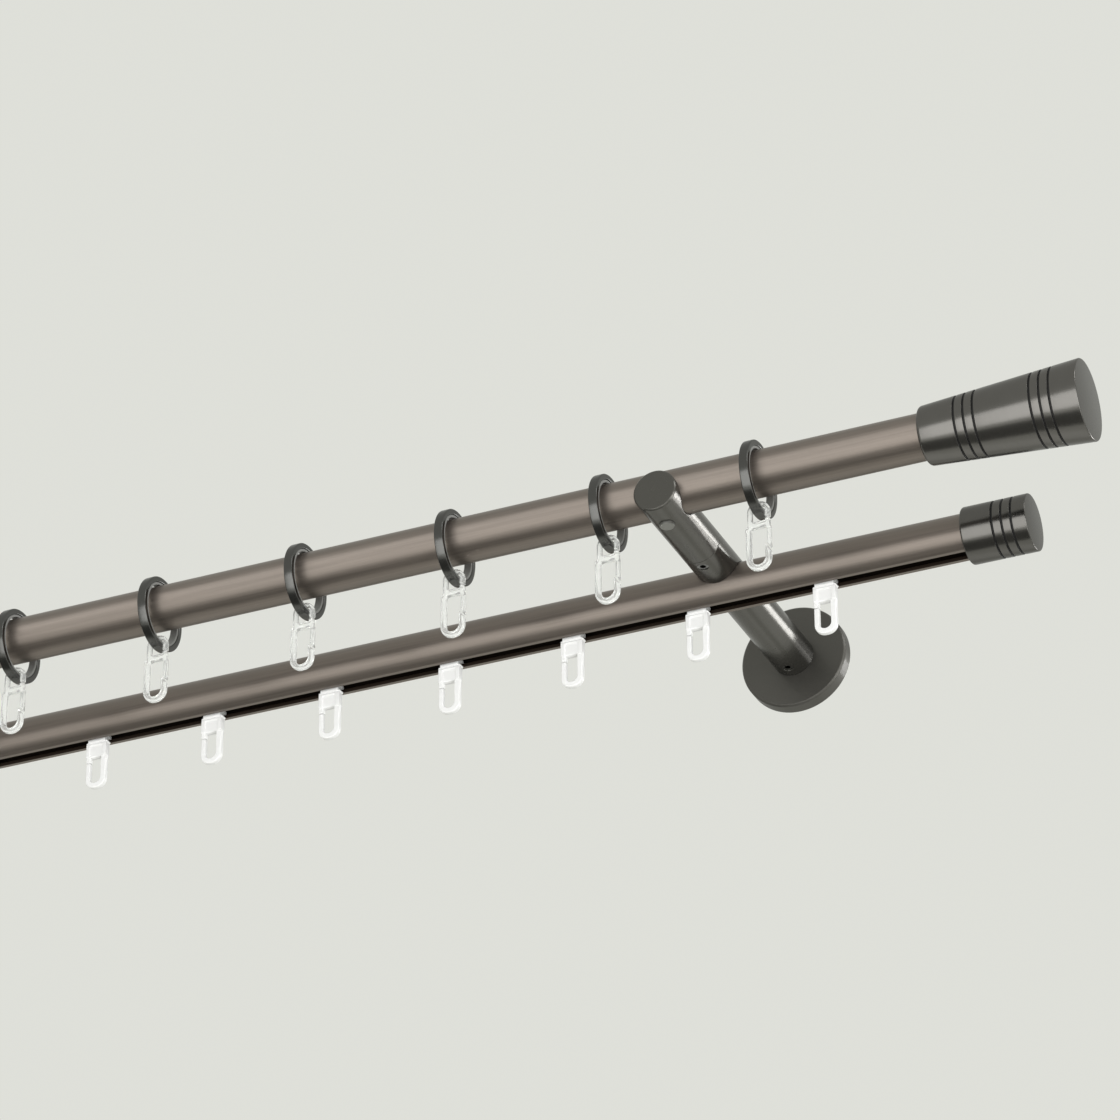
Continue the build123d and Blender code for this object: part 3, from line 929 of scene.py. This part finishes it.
# %% [markdown]
# ## Flat mouldings
#
# Hooks and gliders are flat mouldings: an outline with soft edges all round. The outline is drawn
# in (across, up) and carried through a depth. A flat curve with a bevel could make such a shape,
# but its edge folds at tight corners. Here a corner that is sharper than the edge draws in less.

# %% Shell of a moulding
EDGE_STEPS = 5
SHARP_SHARE = 0.9


def inward(outline):
    """Unit normals of a closed outline that runs anticlockwise, pointing into it.

    Each is the line from the point before to the point after, turned a quarter to the left.
    """
    along = np.roll(outline, -1, axis=0) - np.roll(outline, 1, axis=0)
    along /= np.linalg.norm(along, axis=1)[:, None]
    return np.stack([-along[:, 1], along[:, 0]], axis=-1)


def draw_limits(corners, edge):
    """How far each corner draws in: the edge's radius, or less at a sharper outward corner."""
    table = np.array(corners, float)
    point, radius = table[:, :2], table[:, 2]
    come = point - np.roll(point, 1, axis=0)
    leave = np.roll(point, -1, axis=0) - point
    outward = come[:, 0] * leave[:, 1] > come[:, 1] * leave[:, 0]
    return np.where(outward, np.minimum(edge, SHARP_SHARE * radius), edge)


def shell(corners, front, back, edge):
    """Points, faces and smooth marks of an outline carried from front to back, edges rounded.

    Near each face the outline draws in by its limit times (1 - cos t), while it moves out to the
    face by the edge's radius times sin t. The two flat faces are filled with triangles.
    """
    outline = rounded(corners)
    most = np.repeat(draw_limits(corners, edge), ARC_STEPS)
    turn = np.linspace(0, np.pi / 2, EDGE_STEPS)
    draw = 1 - np.cos(turn)
    reach = edge * (1 - np.sin(turn))
    draws = np.concatenate([draw[::-1], draw])
    depths = np.concatenate([front + reach[::-1], back - reach])
    pull = inward(outline) * most[:, None]
    line = outline[None, :, :] + pull[None, :, :] * draws[:, None, None]
    depth = np.broadcast_to(depths[:, None], line.shape[:2])
    points = np.stack([line[..., 0], depth, line[..., 1]], axis=-1).reshape(-1, 3)
    sides = grid_faces(len(draws), len(outline), False, True)
    flat = np.pad(line[0], ((0, 0), (0, 1)))
    fill = np.array(tessellate_polygon([flat.tolist()]))
    far_fill = fill[:, ::-1] + (len(draws) - 1) * len(outline)
    faces = sides.tolist() + fill.tolist() + far_fill.tolist()
    smooth = np.arange(len(faces)) < len(sides)
    return points, faces, smooth


print("steps round a moulded edge:", 2 * EDGE_STEPS)

# %% [markdown]
# A piece of several thicknesses is several such shells, joined by a Boolean union into one closed
# skin. The shells could be left to overlap, but then walls would stand inside the piece. Equal
# pieces are copies of one pattern, and each copy has its place in its own points.


# %% Union and copies
def shell_mesh(name, points, faces, smooth):
    """A mesh of one shell."""
    mesh = bpy.data.meshes.new(name)
    mesh.from_pydata(points.tolist(), [], faces)
    mesh.polygons.foreach_set("use_smooth", smooth)
    clean(mesh)
    return mesh


def moulding(name, shells):
    """One closed mesh from shells that overlap: their union. A single shell stays as it is."""
    parts = [
        bpy.data.objects.new(f"{name}_{count}", shell_mesh(name, *made))
        for count, made in enumerate(shells)
    ]
    for part in parts:
        scene.collection.objects.link(part)
    for other in parts[1:]:
        join = parts[0].modifiers.new("join", "BOOLEAN")
        join.operation = "UNION"
        join.solver = "EXACT"
        join.object = other
    graph = bpy.context.evaluated_depsgraph_get()
    mesh = bpy.data.meshes.new_from_object(parts[0].evaluated_get(graph), depsgraph=graph)
    mesh.name = name
    for part in parts:
        bpy.data.meshes.remove(part.data)
    return mesh


def place_moulding(mesh, name, place, material, node, slot):
    """A copy of a moulding, moved to its place in its own points."""
    copy = mesh.copy()
    copy.name = name
    points = np.empty(3 * len(copy.vertices))
    copy.vertices.foreach_get("co", points)
    copy.vertices.foreach_set("co", (points.reshape(-1, 3) + place).ravel())
    return finish_piece(name, copy, [material], node)


print("moulding helpers ready:", moulding.__name__, place_moulding.__name__)

# %% [markdown]
# ## Clear hooks
#
# A hook hangs by a loop on the foot of its ring and ends in a long eye. Both are slit on the right:
# the loop so that it can be sprung over the ring, and the eye so that the curtain's own hook can
# be pushed in past a thin gate. So the outline is one line: up the eye's right arm to its tip, back
# round the inside, up and down the gate, and the same once more round the loop. A bent wire would
# be quicker to make, but the real hook is flat, with square shoulders. Each corner of the outline
# is written as across, up and radius.

# %% Outline of a hook
HOOK_THICKNESS = 2.7 * MM
HOOK_EDGE = 0.75 * MM
LOOP_HALF, LOOP_TOP, LOOP_CORNER = 4.9 * MM, 6.05 * MM, 4.4 * MM
HOLE_HALF, HOLE_TOP, HOLE_FOOT = 2.9 * MM, 4.05 * MM, -3.3 * MM
LOOP_SLIT_TOP, LOOP_SLIT_FOOT = -1.8 * MM, -2.4 * MM
SHOULDER, EYE_TOP = -5.2 * MM, -6.15 * MM
SHOULDER_RIGHT = SHOULDER - 1.0 * MM
SHOULDER_LEFT_TOP, SHOULDER_LEFT = SHOULDER + 0.3 * MM, SHOULDER - 0.5 * MM
EYE_LEFT, EYE_RIGHT = -3.35 * MM, 2.75 * MM
HOOK_LEFT, HOOK_RIGHT = -5.8 * MM, 5.2 * MM
EYE_FOOT, HOOK_FOOT = -23.65 * MM, -26.1 * MM
GATE_INNER = 3.6 * MM
GATE_END_IN, GATE_END_OUT = -14.28 * MM, -16.84 * MM
ARM_TIP_IN, ARM_TIP_OUT = -13.86 * MM, -17.78 * MM
ROUND_SHARE = 0.98


def hook_corners():
    """The hook's corners from the eye's foot, anticlockwise, measured from the ring's foot."""
    outer_round = ROUND_SHARE * (HOOK_RIGHT - HOOK_LEFT) / 2
    inner_round = ROUND_SHARE * (EYE_RIGHT - EYE_LEFT) / 2
    eye = [
        (HOOK_LEFT, HOOK_FOOT, outer_round),
        (HOOK_RIGHT, HOOK_FOOT, outer_round),
        (HOOK_RIGHT, ARM_TIP_OUT, 1.0 * MM),
        (EYE_RIGHT, ARM_TIP_IN, 0.45 * MM),
        (EYE_RIGHT, EYE_FOOT, inner_round),
        (EYE_LEFT, EYE_FOOT, inner_round),
        (EYE_LEFT, EYE_TOP, 1.3 * MM),
        (GATE_INNER, EYE_TOP, 1.2 * MM),
        (GATE_INNER, GATE_END_IN, 0.4 * MM),
        (HOOK_RIGHT, GATE_END_OUT, 0.3 * MM),
        (HOOK_RIGHT, SHOULDER_RIGHT, 0.6 * MM),
    ]
    loop = [
        (LOOP_HALF, SHOULDER, 0.6 * MM),
        (LOOP_HALF, LOOP_SLIT_FOOT, 0.5 * MM),
        (HOLE_HALF, LOOP_SLIT_FOOT, 0.3 * MM),
        (HOLE_HALF, HOLE_FOOT, 0.55 * MM),
        (-HOLE_HALF, HOLE_FOOT, 1.2 * MM),
        (-HOLE_HALF, HOLE_TOP, 1.2 * MM),
        (HOLE_HALF, HOLE_TOP, 1.2 * MM),
        (HOLE_HALF, LOOP_SLIT_TOP, 0.5 * MM),
        (LOOP_HALF, LOOP_SLIT_TOP, 0.5 * MM),
        (LOOP_HALF, LOOP_TOP, LOOP_CORNER),
        (-LOOP_HALF, LOOP_TOP, LOOP_CORNER),
        (-LOOP_HALF, SHOULDER_LEFT_TOP, 0.4 * MM),
        (HOOK_LEFT, SHOULDER_LEFT, 0.5 * MM),
    ]
    return eye + loop


print("corners of a hook:", len(hook_corners()))

# %% [markdown]
# A hook's place is the foot of its ring, which its loop goes round. It takes that place from the
# ring's box, so that it hangs right wherever the ring is.

# %% Hooks
hook_shell = shell(hook_corners(), -HOOK_THICKNESS / 2, HOOK_THICKNESS / 2, HOOK_EDGE)
hook_mesh = moulding("hook_pattern", [hook_shell])
for number in ring_numbers:
    foot = centre_of(f"ring_{number}")
    foot[2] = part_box(f"ring_{number}")[0].z
    place_moulding(
        hook_mesh, f"ring_hook_{number}_clear", foot, hook_finish,
        f"ring_hook_{number}", "hook_plastic",
    )
print("hooks:", len(ring_numbers), "points in a hook:", len(hook_mesh.vertices))

# %% [markdown]
# ## White gliders
#
# A glider's head rides inside the track, and its neck comes down through the slot. Below, two small
# wings keep it straight on the track's underside, and a block with a sunk panel carries a long eye.
# The eye's left arm ends in a fine slit under a rail, so that it can be sprung open. One outline
# would do if it were flat, but these parts differ in thickness. So each is a shell of its own: arm,
# rail, plate, frame, neck and head. Each corner is written as across, up and radius.

# %% Shells of a glider
GLIDER_THICKNESS, GLIDER_EYE_THICKNESS = 3.8 * MM, 2.6 * MM
GLIDER_EDGE = 0.45 * MM
WING_HALF, BODY_HALF = 5.5 * MM, 5.1 * MM
WING_TOP, WING_FOOT = -0.3 * MM, -1.5 * MM
PANEL_HALF, PANEL_TOP, PANEL_DEPTH = 3.1 * MM, -2.4 * MM, 0.5 * MM
GLIDER_EYE_TOP, GLIDER_EYE_FOOT, GLIDER_FOOT = -8.0 * MM, -20.9 * MM, -23.3 * MM
GLIDER_EYE_LEFT, GLIDER_EYE_RIGHT = -2.85 * MM, 2.5 * MM
ARM_LEFT = -4.95 * MM
RAIL_FOOT, GLIDER_SLIT = -10.6 * MM, 0.4 * MM
HEAD_HALF, HEAD_FOOT, HEAD_TOP = 4.3 * MM, 1.75 * MM, 3.75 * MM
FOOT_ROUND, EYE_ROUND, TIP_ROUND = 4.3 * MM, 2.6 * MM, 0.45 * MM
RAIL_ROUND, PANEL_ROUND = 0.5 * MM, 0.6 * MM
WING_FOOT_ROUND, WING_TOP_ROUND = 0.2 * MM, 0.3 * MM
FINE, SOFT = 0.35 * MM, 0.4 * MM
LAP, STEP = 1.0 * MM, 0.06 * MM


def box_corners(left, right, foot, top, radius=FINE):
    """A rectangle's corners with one radius, anticlockwise."""
    return [(x, z, radius) for x, z in ((left, foot), (right, foot), (right, top), (left, top))]


def glider_shells():
    """The glider's shells, measured from the middle of the track's underside.

    Sides that would lie in one plane are set back by a hair, so that the union is clean.
    """
    half, half_eye = GLIDER_THICKNESS / 2, GLIDER_EYE_THICKNESS / 2
    arm_half, plate_half = BODY_HALF - STEP, BODY_HALF - 2 * STEP
    plate_foot = GLIDER_EYE_TOP + STEP
    arm_top = RAIL_FOOT - GLIDER_SLIT / 2
    arm = [
        (ARM_LEFT, GLIDER_FOOT, FOOT_ROUND),
        (arm_half, GLIDER_FOOT, FOOT_ROUND),
        (arm_half, GLIDER_EYE_TOP + LAP, FINE),
        (GLIDER_EYE_RIGHT, GLIDER_EYE_TOP + LAP, FINE),
        (GLIDER_EYE_RIGHT, GLIDER_EYE_FOOT, EYE_ROUND),
        (GLIDER_EYE_LEFT, GLIDER_EYE_FOOT, EYE_ROUND),
        (GLIDER_EYE_LEFT, arm_top, TIP_ROUND),
        (ARM_LEFT, arm_top, TIP_ROUND),
    ]
    rail_foot = RAIL_FOOT + GLIDER_SLIT / 2
    rail_top = GLIDER_EYE_TOP + LAP
    rail = box_corners(-arm_half, GLIDER_EYE_LEFT, rail_foot, rail_top, RAIL_ROUND)
    wing_tip = (WING_TOP + WING_FOOT) / 2
    plate = [
        (-plate_half, plate_foot, SOFT),
        (plate_half, plate_foot, SOFT),
        (plate_half, WING_FOOT, WING_FOOT_ROUND),
        (WING_HALF, wing_tip, SOFT),
        (plate_half, WING_TOP, WING_TOP_ROUND),
        (-plate_half, WING_TOP, WING_TOP_ROUND),
        (-WING_HALF, wing_tip, SOFT),
        (-plate_half, WING_FOOT, WING_FOOT_ROUND),
    ]
    frame_line = [
        (-BODY_HALF, GLIDER_EYE_TOP, SOFT),
        (-PANEL_HALF, GLIDER_EYE_TOP, SOFT),
        (-PANEL_HALF, PANEL_TOP, PANEL_ROUND),
        (PANEL_HALF, PANEL_TOP, PANEL_ROUND),
        (PANEL_HALF, GLIDER_EYE_TOP, SOFT),
        (BODY_HALF, GLIDER_EYE_TOP, SOFT),
        (BODY_HALF, WING_FOOT, SOFT),
        (-BODY_HALF, WING_FOOT, SOFT),
    ]
    neck = box_corners(-HEAD_HALF, HEAD_HALF, WING_TOP - LAP / 2, HEAD_FOOT + LAP / 2)
    head = box_corners(-HEAD_HALF - STEP, HEAD_HALF + STEP, HEAD_FOOT, HEAD_TOP)
    return [
        shell(arm, -half_eye, half_eye, GLIDER_EDGE),
        shell(rail, -half_eye, half_eye, GLIDER_EDGE),
        shell(plate, PANEL_DEPTH - half, half, GLIDER_EDGE),
        shell(frame_line, -half, half - LAP, GLIDER_EDGE),
        shell(neck, STEP - half, half - STEP, FINE),
        shell(head, -HEAD_HALF, HEAD_HALF, FINE),
    ]


print("shells of a glider:", len(glider_shells()))

# %% [markdown]
# A glider's place is the middle of its own box across the track, at the height of the track's
# underside, from which its sizes are measured.

# %% Gliders
glider_mesh = moulding("glider_pattern", glider_shells())
glider_numbers = sorted(name[-2:] for name in nodes if name.startswith("glider_"))
track_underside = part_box("rear_track")[0].z
for number in glider_numbers:
    place = centre_of(f"glider_{number}")
    place[2] = track_underside
    place_moulding(
        glider_mesh, f"glider_{number}_white", place, glider_finish,
        f"glider_{number}", "glider_plastic",
    )
print("gliders:", len(glider_numbers), "points in a glider:", len(glider_mesh.vertices))

# %% [markdown]
# ## Pieces that keep their shape
#
# Tubes, brackets and screws are right as they come: plain rounds with clean cuts. They could be
# made again too, but nothing would be gained, so they keep their meshes and only take a finish.

# %% Finishes on the frame's own nodes
CAD_FINISHES = {
    "front_rod": rod_finish,
    "rear_track": track_finish,
    "grub_screws": grub_finish,
    "track_screws": grub_finish,
    "clamp_screws": clamp_finish,
}
for word in ("right", "left"):
    CAD_FINISHES[f"{word}_rose"] = rose_finish
    for piece in ("arm", "head"):
        CAD_FINISHES[f"{word}_{piece}"] = bracket_finish
for name, material in CAD_FINISHES.items():
    nodes[name].material_slots[0].material = material
print("nodes that keep their own shape:", len(CAD_FINISHES))
